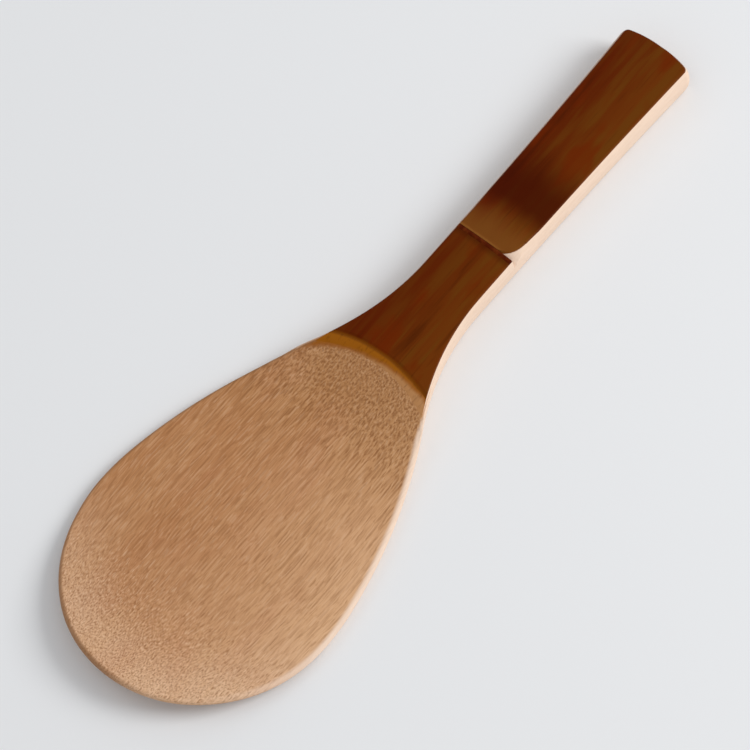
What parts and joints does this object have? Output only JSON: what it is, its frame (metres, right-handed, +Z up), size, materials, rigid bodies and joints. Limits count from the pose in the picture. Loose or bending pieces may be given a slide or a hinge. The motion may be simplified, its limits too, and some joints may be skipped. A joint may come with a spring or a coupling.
{
  "type": "rice paddle",
  "caption": "Flat rice paddle carved from one strip of smoked bamboo: pale scooped blade with a lifted round tip, dark bark left on the neck and grip, and a node ring across the grip.",
  "frame": {"origin": "middle of the length and width, on the surface that the paddle rests on", "axes": "+X to the paddle's right-hand side, seen from above with the blade nearest the viewer, +Y from the blade to the butt of the grip, +Z up, out of the bark side"},
  "size_m": [0.0648, 0.2006, 0.0098],
  "materials": {
    "bamboo_wood": "bare smoked bamboo, satin, with fine fibre dots and streaks",
    "amber_cortex": "dense brown-amber layer under the bark, satin",
    "smoked_rind": "dark brown smoked bark, smooth semi-gloss with faint lengthwise streaks",
    "sheath_scar": "very dark scalloped scar of the leaf sheath with a thin golden rim"
  },
  "bodies": {
    "root": {"culm_wall": "bamboo_wood", "cortex_band": "amber_cortex", "neck_rind": "smoked_rind", "node_ridge": "sheath_scar", "handle_rind": "smoked_rind", "diaphragm_stub": "bamboo_wood"}
  },
  "joints": []
}
